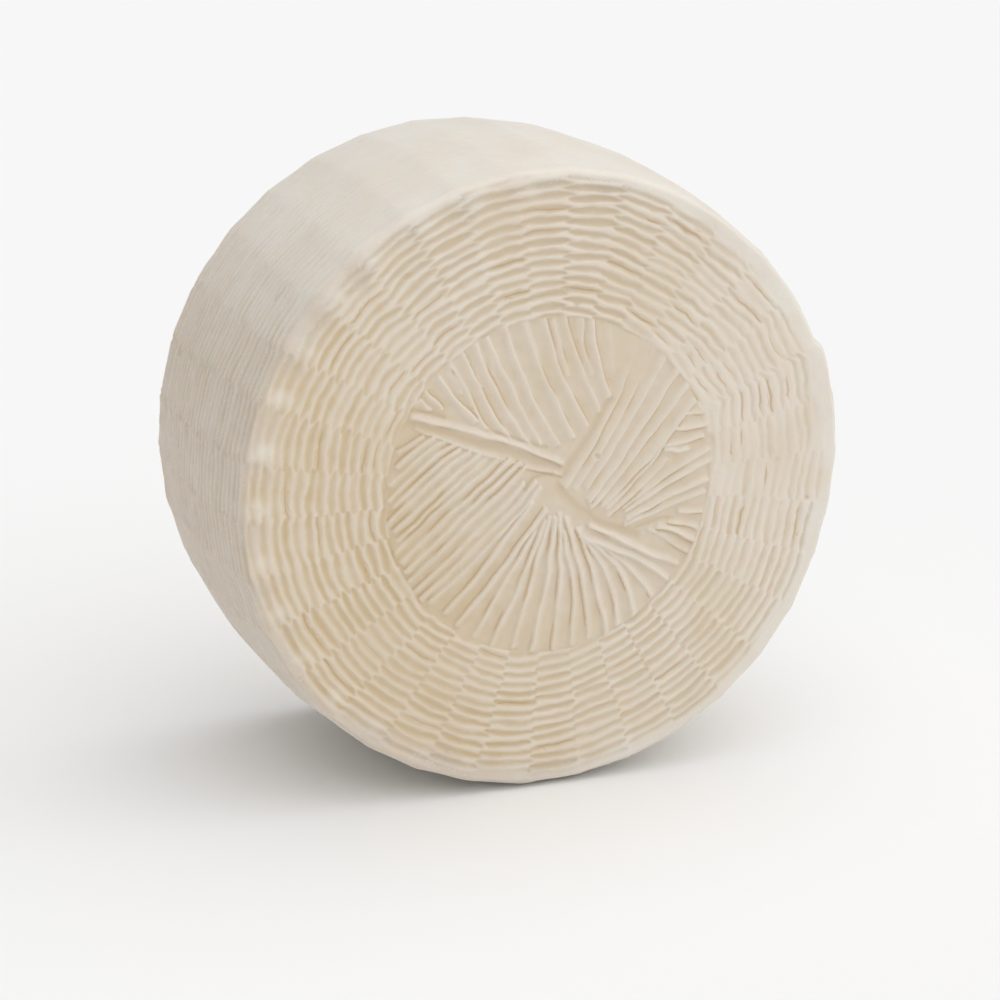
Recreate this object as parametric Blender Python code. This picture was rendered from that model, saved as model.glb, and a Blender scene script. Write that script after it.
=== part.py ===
"""A wheel of fresh sheep's cheese, moulded in a rush basket and standing on its rim.

The wheel is one solid. Its axis lies along Y and the shown face looks towards -Y. The basket has left its
weave on it: a ring of short grooves set like bricks on each face, fans of strands in the middle of each
face, and fine rows round the rim. The origin is under the middle of the wheel, on the flat spot it rests on.
"""

import math

import bmesh
import bpy
from mathutils import Vector
from mathutils.geometry import delaunay_2d_cdt

# Form of the wheel
RIM_RADIUS = 0.145        # half way through the thickness, where the rim is widest
EDGE_RADIUS = 0.141       # where the rim meets its rounded edge
FACE_RADIUS = 0.1376      # where the rounded edge meets the face
DISC_RADIUS = 0.077       # where the woven ring ends and the fans begin
HALF_THICKNESS = 0.0706   # from the middle to the outer edge of a face
EDGE_DEPTH = 0.006        # how far the rounded edge runs along the rim
FACE_DOME = 0.0048        # how far the middle of a face stands out
FLAT_SPOT_DEPTH = 0.003   # how far the soft cheese has settled where it rests

# Weave of the basket
COLUMNS = 34              # stakes of the basket, each one column of grooves
GROOVE_PITCH = 0.0048     # from groove to groove within a column
RING_RELIEF = 0.0010      # height of the ridges and depth of the grooves on the faces
COLUMN_HOLLOW = 0.0008    # how far the middle of a face's column lies below the seams beside it
RIM_RELIEF = 0.0005       # height of the ridges and depth of the grooves on the rim
FAN_RELIEF = 0.0011       # the same among the fans
RIDGE_REACH = 0.0030      # how far from a ridge's line its slope ends
RIDGE_CREST = 0.0003      # how far its rounded crest reaches
FADING_ROWS = 3           # rows over which the relief dies away towards an edge
COLUMN_START = math.radians(-90)

# A bump on the shown face's edge, where one stake of the basket stood proud
BUMP_RISE = 0.0023
BUMP_START = math.radians(66)
BUMP_PEAK = math.radians(70)
BUMP_END = math.radians(86)

# Strands in the middle of a face, in parts of the disc's radius, across and up. Each fan has a number of
# strands and the courses of its first, middle and last one, from their inner end over their middle to
# their outer end. A beam is a pair of strands that lies across the disc.
FANS = {
    "upper fan": (9, (
        ((-0.48, 0.43), (-0.58, 0.57), (-0.68, 0.69)),
        ((0.05, 0.27), (-0.14, 0.56), (-0.29, 0.92)),
        ((0.35, 0.49), (0.29, 0.70), (0.23, 0.94)))),
    "right fan": (11, (
        ((0.10, 0.03), (0.31, 0.31), (0.49, 0.68)),
        ((0.31, -0.10), (0.56, 0.10), (0.88, 0.38)),
        ((0.45, -0.29), (0.70, -0.20), (0.95, -0.17)))),
    "small fan": (4, (
        ((0.79, -0.23), (0.87, -0.24), (0.94, -0.25)),
        ((0.70, -0.29), (0.81, -0.33), (0.90, -0.38)),
        ((0.60, -0.31), (0.71, -0.38), (0.84, -0.47)))),
    "lower fan": (9, (
        ((0.26, -0.39), (0.49, -0.53), (0.62, -0.73)),
        ((0.05, -0.39), (0.12, -0.65), (0.12, -0.95)),
        ((-0.18, -0.34), (-0.34, -0.60), (-0.47, -0.84)))),
    "left fan": (13, (
        ((-0.77, 0.38), (-0.83, 0.34), (-0.90, 0.31)),
        ((-0.39, 0.22), (-0.62, 0.05), (-0.93, -0.22)),
        ((-0.17, 0.03), (-0.45, -0.31), (-0.74, -0.61)))),
    "left beam": (2, (
        ((-0.84, 0.48), (-0.38, 0.34), (0.06, 0.13)),
        ((-0.82, 0.41), (-0.38, 0.23), (0.06, 0.07)))),
    "right beam": (2, (
        ((0.26, -0.23), (0.55, -0.39), (0.79, -0.53)),
        ((0.25, -0.28), (0.52, -0.45), (0.74, -0.61)))),
    "lower beam": (2, (
        ((-0.04, -0.12), (-0.32, -0.47), (-0.57, -0.76)),
        ((-0.12, -0.06), (-0.40, -0.42), (-0.65, -0.69)))),
}
STRAND_STEPS = 4                      # straight pieces along each strand
STRAND_MERGE = 0.0008                 # points nearer to each other than this become one
BACK_FACE_TURN = math.radians(155)    # how far the back face's fans are turned

# Rows of points. A fine row has one point in the middle of each column and one on each seam between
# columns, and a coarse row only those in the middle. The shown face is fine, the rim and the back coarse.
FINE_POINTS = 2 * COLUMNS
COARSE_POINTS = COLUMNS
ROW_STEP = GROOVE_PITCH / 2
RING_ROWS = round((FACE_RADIUS - DISC_RADIUS) / ROW_STEP)
EDGE_STEPS = 2

CREAM = (0.80, 0.71, 0.58, 1.0)
SURFACE_ROUGHNESS = 0.55


def blend(keys, t):
    """A point at t from the first key to the last: on a line through two keys, a parabola through three."""
    if len(keys) == 2:
        weights = (1 - t, t)
    else:
        weights = ((1 - t) * (1 - 2 * t), 4 * t * (1 - t), t * (2 * t - 1))
    return sum((weight * key for weight, key in zip(weights, keys)), Vector((0.0, 0.0)))


def strand(courses, t):
    """The points of the strand that lies at t across a fan, in metres from the middle of the face."""
    points = []
    for step in range(STRAND_STEPS + 1):
        along = step / STRAND_STEPS
        keys = [blend([Vector(point) for point in course], along) for course in courses]
        points.append(blend(keys, t) * DISC_RADIUS)
    return points


def fan_strands():
    """The ridges of all fans, and the grooves that lie half way between them."""
    ridges = []
    grooves = []
    for count, courses in FANS.values():
        spacing = 1 / (count - 1)
        ridges += [strand(courses, index * spacing) for index in range(count)]
        grooves += [strand(courses, (index + 0.5) * spacing) for index in range(count - 1)]
    return ridges, grooves


def distance_to_strand(point, points):
    """How far a point lies from a strand."""
    nearest = math.inf
    for start, end in zip(points, points[1:]):
        along = (point - start).dot(end - start) / (end - start).length_squared
        nearest = min(nearest, (point - start.lerp(end, min(max(along, 0.0), 1.0))).length)
    return nearest


def fan_relief(point, ridges):
    """Height of the relief among the fans: a narrow rounded crest on each ridge, and wide hollows between."""
    distance = min(distance_to_strand(point, points) for points in ridges)
    slope = max(0.0, 1 - math.hypot(distance, RIDGE_CREST) / RIDGE_REACH)
    return FAN_RELIEF * (2 * slope ** 2 - 1)


def face_height(radius):
    """How far the smooth face stands from the middle of the wheel."""
    return HALF_THICKNESS + FACE_DOME * (1 - (radius / FACE_RADIUS) ** 2)


def rim_radius(y):
    """Radius of the smooth rim, which is a little fuller in its middle."""
    half_width = HALF_THICKNESS - EDGE_DEPTH
    return RIM_RADIUS - (RIM_RADIUS - EDGE_RADIUS) * (y / half_width) ** 2


def edge_bump(angle, y):
    """How far the bump at the edge stands out: it rises at once and dies away along the edge."""
    angle = math.remainder(angle, 2 * math.pi)
    if not BUMP_START < angle < BUMP_END or y > 0:
        return 0.0
    rise = (angle - BUMP_START) / (BUMP_PEAK - BUMP_START)
    fall = (BUMP_END - angle) / (BUMP_END - BUMP_PEAK)
    return BUMP_RISE * min(rise, fall) * min(1.0, -y / HALF_THICKNESS)


def place(radius, angle, y):
    """A point at an angle clockwise from the top, pressed flat where the wheel rests."""
    floor = FLAT_SPOT_DEPTH - RIM_RADIUS
    return Vector((radius * math.sin(angle), y, max(radius * math.cos(angle), floor)))


def row_angles(count):
    """Angles of the points in a row, of which the first is in the middle of the first column."""
    first = COLUMN_START + math.pi / COLUMNS
    return [first + index * 2 * math.pi / count for index in range(count)]


def weave_height(row, index, count, relief, hollow):
    """Height of the weave. In the middle of a column, ridges and grooves take turns, half a pitch apart from
    those of the next column. On a seam, the ridges meet."""
    column, beside = divmod(index, count // COLUMNS)
    if beside:
        return relief
    return (relief if (row + column) % 2 == 0 else -relief) - hollow


def fade(row, last):
    """The share of the relief that is left near the first and last rows."""
    return min(1.0, row / FADING_ROWS, (last - row) / FADING_ROWS)


def ring_rows(bm, side, count):
    """Rows of the woven ring on one face, from the disc outwards. Side is -1 in front and 1 behind."""
    spacing = (FACE_RADIUS - DISC_RADIUS) / RING_ROWS
    rows = []
    for row in range(RING_ROWS + 1):
        radius = DISC_RADIUS + row * spacing
        points = []
        for index, angle in enumerate(row_angles(count)):
            height = weave_height(row, index, count, RING_RELIEF, COLUMN_HOLLOW)
            y = side * (face_height(radius) + height * fade(row, RING_ROWS))
            points.append(bm.verts.new(place(radius + edge_bump(angle, y), angle, y)))
        rows.append(points)
    return rows


def edge_rows(bm, side, count):
    """Rows of the rounded edge between a face and the rim, from the face outwards."""
    rows = []
    for step in range(1, EDGE_STEPS + 1):
        turn = math.pi / 2 * step / EDGE_STEPS
        radius = FACE_RADIUS + (EDGE_RADIUS - FACE_RADIUS) * math.sin(turn)
        y = side * (HALF_THICKNESS - EDGE_DEPTH * (1 - math.cos(turn)))
        bumps = [(edge_bump(angle, y), angle) for angle in row_angles(count)]
        rows.append([bm.verts.new(place(radius + bump, angle, y)) for bump, angle in bumps])
    return rows


def rim_rows(bm):
    """Rows of the rim between its rounded edges, from front to back."""
    half_width = HALF_THICKNESS - EDGE_DEPTH
    last = round(2 * half_width / ROW_STEP)
    rows = []
    for row in range(1, last):
        y = half_width * (2 * row / last - 1)
        points = []
        for index, angle in enumerate(row_angles(COARSE_POINTS)):
            height = weave_height(row, index, COARSE_POINTS, RIM_RELIEF, 0.0) * fade(row, last)
            points.append(bm.verts.new(place(rim_radius(y) + height + edge_bump(angle, y), angle, y)))
        rows.append(points)
    return rows


def join_rows(bm, first, second):
    """Faces between two rows, of which one may have two points for each point of the other."""
    if len(first) < len(second):
        first, second = second, first
    count = len(second)
    for index in range(count):
        after = (index + 1) % count
        if len(first) == count:
            bm.faces.new((first[index], first[after], second[after], second[index]))
        else:
            left, right, beyond = first[2 * index], first[2 * index + 1], first[2 * after]
            bm.faces.new((left, right, second[index]))
            bm.faces.new((right, beyond, second[after], second[index]))


def fill_disc(bm, border, side, turn):
    """The middle of a face: triangles between the ridges and grooves of the fans and the ring's first row."""
    ridges, grooves = fan_strands()
    count = len(border)
    angles = [angle + turn for angle in row_angles(count)]
    flat = [Vector((math.sin(angle), math.cos(angle))) * DISC_RADIUS for angle in angles]
    edges = [(index, (index + 1) % count) for index in range(count)]
    for points in ridges + grooves:
        first = len(flat)
        flat += points
        edges += [(first + step, first + step + 1) for step in range(STRAND_STEPS)]
    outside = [list(range(count))]
    found, _, triangles, sources, _, _ = delaunay_2d_cdt(flat, edges, outside, 1, STRAND_MERGE)
    verts = []
    for point, source in zip(found, sources):
        on_border = [index for index in source if index < count]
        if on_border:
            verts.append(border[on_border[0]])
            continue
        angle = math.atan2(point.x, point.y) - turn
        y = side * (face_height(point.length) + fan_relief(point, ridges))
        verts.append(bm.verts.new(place(point.length, angle, y)))
    for triangle in triangles:
        bm.faces.new([verts[index] for index in triangle])


def centre_on_origin(bm):
    """Move the wheel so that its box stands on the origin by the middle of its bottom side."""
    for axis in range(3):
        values = [vert.co[axis] for vert in bm.verts]
        low, high = min(values), max(values)
        shift = -low if axis == 2 else -(low + high) / 2
        for vert in bm.verts:
            vert.co[axis] += shift


def cheese_material():
    """Pale cream, slightly moist."""
    material = bpy.data.materials.new("pale_cheese")
    material.use_nodes = True
    shader = material.node_tree.nodes["Principled BSDF"]
    shader.inputs["Base Color"].default_value = CREAM
    shader.inputs["Roughness"].default_value = SURFACE_ROUGHNESS
    shader.inputs["Metallic"].default_value = 0.0
    return material


def make_wheel():
    """The whole wheel, as one closed body."""
    bm = bmesh.new()
    front = ring_rows(bm, -1, FINE_POINTS) + edge_rows(bm, -1, FINE_POINTS)
    back = ring_rows(bm, 1, COARSE_POINTS) + edge_rows(bm, 1, COARSE_POINTS)
    rows = front + rim_rows(bm) + back[::-1]
    for first, second in zip(rows, rows[1:]):
        join_rows(bm, first, second)
    fill_disc(bm, front[0], -1, 0.0)
    fill_disc(bm, back[0], 1, BACK_FACE_TURN)
    bmesh.ops.triangulate(bm, faces=bm.faces[:])
    bmesh.ops.recalc_face_normals(bm, faces=bm.faces[:])
    centre_on_origin(bm)
    mesh = bpy.data.meshes.new("cheese_wheel")
    bm.to_mesh(mesh)
    bm.free()
    mesh.materials.append(cheese_material())
    wheel = bpy.data.objects.new("cheese_wheel", mesh)
    bpy.context.scene.collection.objects.link(wheel)
    return wheel


def main():
    for old in list(bpy.data.objects):
        bpy.data.objects.remove(old)
    make_wheel()


main()
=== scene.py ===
"""The looks of a wheel of fresh sheep's cheese that was moulded in a basket.

One closed mesh of the whole wheel replaces the plain solid. It has the same form, and the basket's weave at
full detail: rings of short grooves on both faces, fans of strands in their middles and fine rows on the rim.
"""

import itertools
import math

import bpy
import numpy as np
from mathutils import Matrix, Vector


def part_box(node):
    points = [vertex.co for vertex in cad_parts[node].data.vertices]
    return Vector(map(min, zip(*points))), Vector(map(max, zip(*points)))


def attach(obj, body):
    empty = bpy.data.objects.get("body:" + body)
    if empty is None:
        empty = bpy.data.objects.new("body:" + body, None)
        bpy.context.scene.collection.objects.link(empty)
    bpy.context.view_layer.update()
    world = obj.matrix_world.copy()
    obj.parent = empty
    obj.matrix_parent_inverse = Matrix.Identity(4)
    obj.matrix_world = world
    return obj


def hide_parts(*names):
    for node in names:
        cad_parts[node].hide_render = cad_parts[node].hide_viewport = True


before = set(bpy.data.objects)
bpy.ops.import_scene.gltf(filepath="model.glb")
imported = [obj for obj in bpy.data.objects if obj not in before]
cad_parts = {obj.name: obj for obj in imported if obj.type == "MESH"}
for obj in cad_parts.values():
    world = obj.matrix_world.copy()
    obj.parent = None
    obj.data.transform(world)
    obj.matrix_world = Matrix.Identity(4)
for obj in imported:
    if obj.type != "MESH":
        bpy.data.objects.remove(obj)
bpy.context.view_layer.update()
low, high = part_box("cheese_wheel")
MM = 0.001

# Form of the wheel, from the box of its solid
RADIUS = (high.x - low.x) / 2             # half way through the thickness, where the rim is widest
AXLE_HEIGHT = high.z - RADIUS
EDGE_RADIUS = 0.972 * RADIUS              # where the rim meets its rounded edge
FACE_RADIUS = 0.949 * RADIUS              # where the rounded edge meets the face
DISC_RADIUS = 0.531 * RADIUS              # where the woven ring ends and the fans begin
DOME = 0.033 * RADIUS                     # how far the middle of a face stands out
FAN_CREST = 0.7 * MM                      # how far the fans' ridges stand out of the smooth face
HALF_THICKNESS = (high.y - low.y) / 2 - DOME - FAN_CREST
EDGE_DEPTH = 0.0062                       # how far the rounded edge runs along the rim
HALF_RIM = HALF_THICKNESS - EDGE_DEPTH

# Weave of the basket
COLUMNS = 34                              # stakes of the basket, each one column of grooves
COLUMN_ANGLE = 2 * math.pi / COLUMNS
COLUMN_START = math.radians(-91.3)
GROOVE_PITCH = 4.8 * MM                   # from groove to groove within a column
FACE_GROOVE = 1.25 * MM                   # depth of a groove on a face
RIM_GROOVE = 0.55 * MM                    # depth of a groove on the rim
GROOVE_TIP = 0.14                         # half the width of a groove's tip, in pitches
GROOVE_REACH = 0.70                       # half the length of a pointed groove, in columns
BLUNT_CUT = 0.20                          # how much less that is for a blunt groove
ROW_SWING = 0.10                          # how far a column's rows swing along the outline, in pitches
SWING_LENGTH = 9 * MM                     # over which they swing by one radian
SEAM_WANDER = 0.10                        # how far a seam strays to the side, in columns
SHOULDER_FADE = 5 * MM                    # over which a face's grooves run out beyond their shoulder
RIM_GROOVE_START = -1 * MM                # where the rim's grooves set in, outwards of the edge's start
FACE_HOLLOW = 1.0 * MM                    # how far a column's middle lies below its seams on a face
RIM_HOLLOW = 0.75 * MM                    # the same on the rim, where it leaves the columns nearly flat
HOLLOW_LENGTH = 70 * MM                   # the hollows of a face lose their depth at this rate inwards
TICK_ACROSS = 0.46                        # where the rim's grooves are deepest, in columns from the middle
TICK_WIDTH = 0.14                         # and how far on either side of that
KNOT = 0.9 * MM                           # how far a column's knot stands out at the edge
KNOT_OUTWARDS = -5 * MM                   # its middle, from the start of the rounded edge outwards
KNOT_LENGTH = 7 * MM
KNOT_ACROSS = -0.26                       # its middle, in columns from the column's middle
PATCH_ACROSS = 0.28                       # the middle of the sunk patch on the column's other side
KNOT_WIDTH = 0.20                         # of knots and patches, in columns
PATCH_SHARE = 0.8                         # how far a patch sinks in for each part that a knot stands out
SMEAR = 0.8 * MM                          # unevenness where the cheese was smeared
FEWEST_CREASES = 0.08                     # share of the grooves with a crease where nothing is smeared
CREASE_DEPTH = 0.35 * MM
CREASE_WIDTH = 0.55 * MM
CREASE_WANDER = 0.4 * MM                  # how far a crease strays off its course
CREASE_BORDER = 5 * MM                    # how far from the rounded edge the creases end
CREASE_FADE = 3 * MM                      # over which they reach their full depth from there
CREASE_REACH = 1.8 * MM                   # how far to either side a crease has its colour
LIP = 0.30 * MM                           # how far the cheese above a crease stands out over it
LIP_LENGTH = 1.8 * MM                     # over which it comes down again
PITS = 14                                 # small eyes that open at the surface
PIT_RADIUS = 1.3 * MM
PIT_DEPTH = 0.9 * MM
PIT_SEED = 61
COLUMN_TONE = 0.25                        # how far the columns of the rim differ in how pale they are
RIM_COLOUR_START = -6.5 * MM              # where the rim's colour sets in, from the shoulder outwards
RIM_COLOUR_FADE = 14 * MM
WEAVE_SEED = 11

# The weave round the wheel, at angles clockwise from the top. For the shown face: how deep the grooves are
# and how wide in pitches, how hollow the columns, how blunt the grooves' ends, how far they are bowed in
# pitches, how smeared they are, where they run out and how strong the knots are. For the rim: how deep its
# grooves are.
WEAVE_ANGLES = np.radians((-180, -110, -75, -50, -25, 8, 24, 60, 92, 108, 135, 180))
STRENGTHS = (0.90, 0.82, 0.75, 0.76, 1.08, 1.35, 1.08, 0.65, 0.52, 0.80, 1.02, 0.95)
WIDTHS = (0.54, 0.58, 0.60, 0.58, 0.56, 0.56, 0.54, 0.50, 0.50, 0.52, 0.54, 0.54)
HOLLOWS = (0.40, 0.70, 0.90, 0.60, 0.25, 0.05, 0.05, 0.15, 0.20, 0.25, 0.30, 0.40)
BLUNTNESS = (0.50, 0.50, 0.40, 0.15, 0.00, 0.00, 0.10, 0.40, 0.60, 0.60, 0.70, 0.60)
BOWS = (0.30, 0.30, 0.40, 0.60, 0.20, 0.00, -0.20, -0.50, -0.40, -0.10, 0.30, 0.30)
SMEARS = (0.10, 0.10, 0.15, 0.15, 0.05, 0.05, 0.35, 0.60, 0.60, 0.30, 0.10, 0.10)
SHOULDERS = np.array((-5, -2, -1, -3.8, -3.2, -1.8, -5, -8, -6, -6, -6, -5)) * MM
KNOTS = (0.40, 0.60, 0.90, 0.95, 0.65, 0.25, 0.15, 0.20, 0.20, 0.20, 0.30, 0.35)
RIM_STRENGTHS = (1.20, 2.00, 2.50, 1.20, 0.50, 0.35, 0.35, 0.80, 1.00, 1.00, 1.10, 1.20)

# The same for the back face, where it is alike all the way round
BACK_STRENGTH = 0.82
BACK_HOLLOW = 0.35
BACK_SMEAR = 0.15
BACK_SHOULDER = -5 * MM
BACK_KNOT = 0.4

# A bump on the shown face's edge, where one stake of the basket stood proud
BUMP_ANGLES = np.radians((67.3, 69.3, 73.5, 75.0, 98.0))
BUMP_RISES = np.array((0.0, 2.9, 2.5, 1.9, 0.0)) * MM

# Strands in the middle of a face, in parts of the disc's radius, across and up. Each fan has a number of
# strands and the courses of its first, middle and last one, from their inner end over their middle to
# their outer end. A beam is a pair of strands that lies across the disc.
FANS = {
    "corner fan": (2, (
        ((-0.65, 0.51), (-0.70, 0.57), (-0.74, 0.62)),
        ((-0.73, 0.53), (-0.78, 0.56), (-0.82, 0.57)))),
    "upper fan": (10, (
        ((-0.46, 0.43), (-0.56, 0.56), (-0.67, 0.685)),
        ((0.02, 0.22), (-0.17, 0.545), (-0.32, 0.94)),
        ((0.35, 0.50), (0.285, 0.73), (0.247, 0.95)))),
    "upper short fan": (8, (
        ((-0.54, 0.60), (-0.57, 0.66), (-0.60, 0.74)),
        ((-0.12, 0.66), (-0.17, 0.78), (-0.22, 0.96)),
        ((0.38, 0.62), (0.37, 0.76), (0.36, 0.90)))),
    "right short fan": (4, (
        ((0.82, 0.36), (0.90, 0.37), (0.97, 0.38)),
        ((0.74, 0.22), (0.85, 0.23), (0.96, 0.24)),
        ((0.69, 0.15), (0.76, 0.145), (0.83, 0.14)))),
    "right fan": (6, (
        ((0.10, 0.02), (0.31, 0.33), (0.49, 0.68)),
        ((0.20, -0.10), (0.45, 0.23), (0.73, 0.64)),
        ((0.30, -0.15), (0.57, 0.08), (0.89, 0.42)))),
    "right middle fan": (2, (
        ((0.33, -0.17), (0.54, 0.01), (0.76, 0.27)),
        ((0.37, -0.20), (0.55, -0.06), (0.70, 0.08)))),
    "right lower fan": (4, (
        ((0.40, -0.20), (0.67, -0.03), (0.96, 0.11)),
        ((0.46, -0.28), (0.71, -0.19), (0.96, -0.13)))),
    "small fan": (4, (
        ((0.79, -0.23), (0.87, -0.24), (0.94, -0.25)),
        ((0.70, -0.29), (0.81, -0.33), (0.90, -0.38)),
        ((0.60, -0.31), (0.71, -0.38), (0.84, -0.47)))),
    "lower fan": (11, (
        ((0.24, -0.35), (0.49, -0.53), (0.62, -0.73)),
        ((0.07, -0.20), (0.12, -0.60), (0.12, -0.96)),
        ((-0.05, -0.16), (-0.30, -0.56), (-0.47, -0.84)))),
    "left fan": (15, (
        ((-0.77, 0.38), (-0.83, 0.34), (-0.90, 0.31)),
        ((-0.37, 0.23), (-0.62, 0.05), (-0.93, -0.22)),
        ((-0.03, 0.05), (-0.40, -0.33), (-0.74, -0.61)))),
    "left beam": (2, (
        ((-0.84, 0.48), (-0.38, 0.34), (0.06, 0.13)),
        ((-0.82, 0.41), (-0.38, 0.23), (0.06, 0.07)))),
    "right beam": (2, (
        ((0.23, -0.26), (0.53, -0.42), (0.79, -0.55)),
        ((0.24, -0.33), (0.51, -0.49), (0.74, -0.63)))),
    "lower beam": (2, (
        ((-0.04, -0.12), (-0.32, -0.47), (-0.57, -0.76)),
        ((-0.12, -0.06), (-0.40, -0.42), (-0.65, -0.69)))),
}
STRAND_STEPS = 10                         # straight pieces along each strand
STRAND_LOOSENESS = 0.18                   # how far a strand's ends stray, in gaps between strands
STRAND_BEND = 0.8                         # how far a strand bends off its course, in mm
STRAND_STRAY = 0.5 * MM                   # how far it strays on top of that
FAINT_SHARE = 0.6                         # of the full height, for faint strands
RIDGE_HEIGHT = 1.9 * MM
RIDGE_DROP = 1.3 * MM                     # how far from its crest a ridge's steep side reaches the bottom
RIDGE_SLOPE = 3.2 * MM                    # the same for its gentle side
RIDGE_REACH = 6 * MM                      # farther away than this a strand changes nothing
FOOT_STEEP = 2.4 * MM                     # how far a ridge's low foot reaches on its steep side
FOOT_GENTLE = 4.0 * MM                    # and on its gentle side
RIPPLE_LENGTH = 1.7 * MM                  # from ripple to ripple beside a ridge
CAP_LENGTH = 0.8 * MM                     # over which a ridge turns into its round end
CAP_RADIUS = 1.6 * MM
FAN_BORDER = 1.0 * MM                     # over which the fans die away at the disc's border
BORDER_CUT = 0.5 * MM                     # depth of the broken groove round the fans
BORDER_CUT_PLACE = -0.3 * MM              # its middle, from the disc's border inwards
BORDER_CUT_WIDTH = 0.7 * MM
PIT_LIP = 0.28                            # how far the lip of the eye stands out, in depths of the eye
RUBBED_SPOT = np.array((0.53, 0.72))      # where the fans are rubbed smooth, in parts of the disc's radius
RUBBED_RADIUS = 0.20
RUBBED_SHARE = 0.85                       # how much of their height is gone there
FAN_PIT = np.array((0.278, 0.160))        # where a small eye opens among the fans, in the same parts
FRONT_SEED = 31                           # of the random draws for a face's strands
BACK_SEED = 57
BACK_FACE_TURN = math.radians(155)        # how far the back face's fans are turned

# Grooves beside the beams and at the fans' ends: half the width and the depth, in mm, and the courses
DISC_GROOVES = {
    "in the left beam": (2.0, 0.30, ((-0.86, 0.45), (-0.38, 0.285), (0.09, 0.09))),
    "left beam's upper side": (0.7, 0.50, ((-0.86, 0.525), (-0.75, 0.505), (-0.65, 0.47))),
    "upper fan's inner ends": (0.8, 0.45, ((-0.39, 0.38), (-0.22, 0.31), (-0.04, 0.24))),
    "beside the right fan": (1.3, 0.55, ((0.07, 0.07), (0.20, 0.26), (0.36, 0.49))),
    "above the right beam": (1.5, 0.60, ((0.03, 0.01), (0.25, -0.21), (0.54, -0.345))),
    "below the right fan": (0.8, 0.40, ((0.50, -0.32), (0.65, -0.26), (0.76, -0.27))),
    "hub's loop": (0.8, 0.50, ((-0.17, 0.00), (-0.10, 0.07), (-0.01, 0.08))),
}

# Fineness of the mesh
POINTS_PER_COLUMN = 14
SEAM_CROWDING = 0.5                       # how much closer together the points lie near the seams
FRONT_STEP = 0.65 * MM
RIM_STEP = 0.95 * MM
BACK_STEP = 1.0 * MM
MOST_TRIANGLES = 195_000                  # left of them, most where the relief is strongest
LATTICE = 32                              # random values each way, after which noise repeats itself
OUTLINE_POINTS = 200                      # along the ring's outline, and along half of the rim's
EDGE_POINTS = 40                          # along the rounded edge's
FAR = 1.0                                 # farther than any two points of the wheel are apart

# Layout of the surface when it is laid out flat
UV_SCALE = 1.67                           # per metre
UV_SPREAD = 0.7                           # how far the rounded edge is laid outside its face
UV_FACE = 0.25                            # from the middle of a face to the borders beside it
UV_STRIPS = (0.75, 0.51)                  # the lower borders of the strips of the rim's right and left half
UV_STRIP_START = 0.05                     # their left border


def noise(points, scale, seed):
    """Smooth random values from -1 to 1 at the points, which change over about one scale."""
    lattice = np.random.default_rng(seed).uniform(-1, 1, (LATTICE,) * 3)
    spot = np.asarray(points) / scale
    cell = np.floor(spot).astype(int)
    part = spot - cell
    part = part * part * (3 - 2 * part)
    total = 0
    for corner in itertools.product((0, 1), repeat=3):
        weight = np.prod(np.where(corner, part, 1 - part), axis=-1)
        total = total + weight * lattice[tuple(np.moveaxis((cell + corner) % LATTICE, -1, 0))]
    return total


def smooth_step(value):
    """0 below 0, 1 above 1 and smooth between them."""
    value = np.clip(value, 0, 1)
    return value * value * (3 - 2 * value)


def bell(distance, width):
    """1 at no distance, falling smoothly to about a third at the width."""
    return np.exp(-(distance / width) ** 2)


def wrapped(angle):
    """The same angle between half a turn back and half a turn on."""
    return (angle + math.pi) % (2 * math.pi) - math.pi


def round_wheel(values, angle):
    """Values that are known at the weave's angles, at other angles."""
    return np.interp(angle, WEAVE_ANGLES, values)


def meridian():
    """The smooth wheel's outline from the front disc's border over the rim to the back disc's border: how far
    along it each point lies, its radius and its place through the thickness, from the front backwards."""
    ring_radius = np.linspace(DISC_RADIUS, FACE_RADIUS, OUTLINE_POINTS)
    ring_y = HALF_THICKNESS + DOME * (1 - (ring_radius / FACE_RADIUS) ** 2)
    turn = np.linspace(0, math.pi / 2, EDGE_POINTS)[1:]
    edge_radius = FACE_RADIUS + (EDGE_RADIUS - FACE_RADIUS) * np.sin(turn)
    edge_y = HALF_THICKNESS - EDGE_DEPTH * (1 - np.cos(turn))
    rim_y = np.linspace(HALF_RIM, 0, OUTLINE_POINTS)[1:]
    rim_radius = RADIUS - (RADIUS - EDGE_RADIUS) * (rim_y / HALF_RIM) ** 2
    radius = np.concatenate((ring_radius, edge_radius, rim_radius))
    y = np.concatenate((ring_y, edge_y, rim_y))
    radius = np.concatenate((radius, radius[-2::-1]))
    y = np.concatenate((-y, y[-2::-1]))
    along = np.concatenate(((0,), np.cumsum(np.hypot(np.diff(radius), np.diff(y)))))
    return along, radius, y


ALONG, OUTLINE_RADIUS, OUTLINE_Y = meridian()
LENGTH = ALONG[-1]
RING_END = np.interp(FACE_RADIUS, OUTLINE_RADIUS[:OUTLINE_POINTS], ALONG[:OUTLINE_POINTS])
RIM_START = np.interp(-HALF_RIM, OUTLINE_Y, ALONG)
PITCH = LENGTH / round(LENGTH / GROOVE_PITCH)      # so that the rows close in the middle of the rim


def from_edge(along):
    """How far points lie from the start of the nearer rounded edge, outwards along the outline."""
    return np.minimum(along, LENGTH - along) - RING_END


def on_rim(along):
    """0 on the faces, 1 on the rim."""
    return smooth_step(from_edge(along) / (RIM_START - RING_END))


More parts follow.
